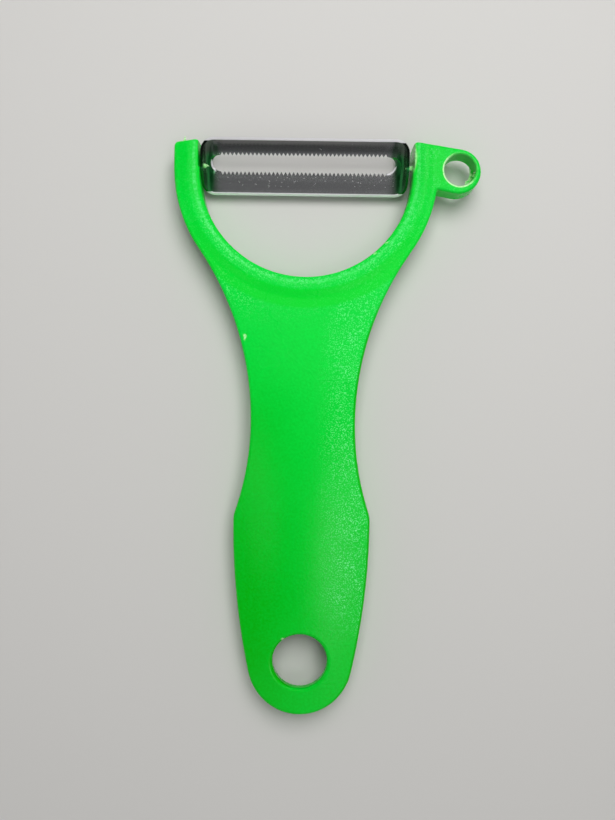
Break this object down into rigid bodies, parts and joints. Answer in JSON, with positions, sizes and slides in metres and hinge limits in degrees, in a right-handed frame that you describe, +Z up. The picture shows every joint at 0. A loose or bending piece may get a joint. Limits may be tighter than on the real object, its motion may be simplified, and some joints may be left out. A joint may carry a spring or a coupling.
{
  "type": "vegetable peeler",
  "caption": "Y-shaped vegetable peeler: moulded plastic handle with a two-armed fork, hanging hole and eye-digging ring, and a swivelling slotted blade with toothed edges.",
  "frame": {"origin": "on the surface that the peeler lies on, under the middle of its whole width and length", "axes": "+Z up out of the front of the handle, +Y from the tail with the hanging hole to the blade, +X to the side of the ring"},
  "size_m": [0.0708, 0.1331, 0.0095],
  "materials": {
    "green_plastic": "satin, finely grained",
    "stainless_steel": "polished stamping"
  },
  "bodies": {
    "handle": {"handle": "green_plastic"},
    "blade": {"blade": "stainless_steel"}
  },
  "joints": [
    {"name": "blade_swivel", "type": "hinge", "parent": "handle", "child": "blade", "pos_m": [-0.00487, 0.06086, 0.0052], "axis": [1, 0, 0], "continuous": true}
  ]
}
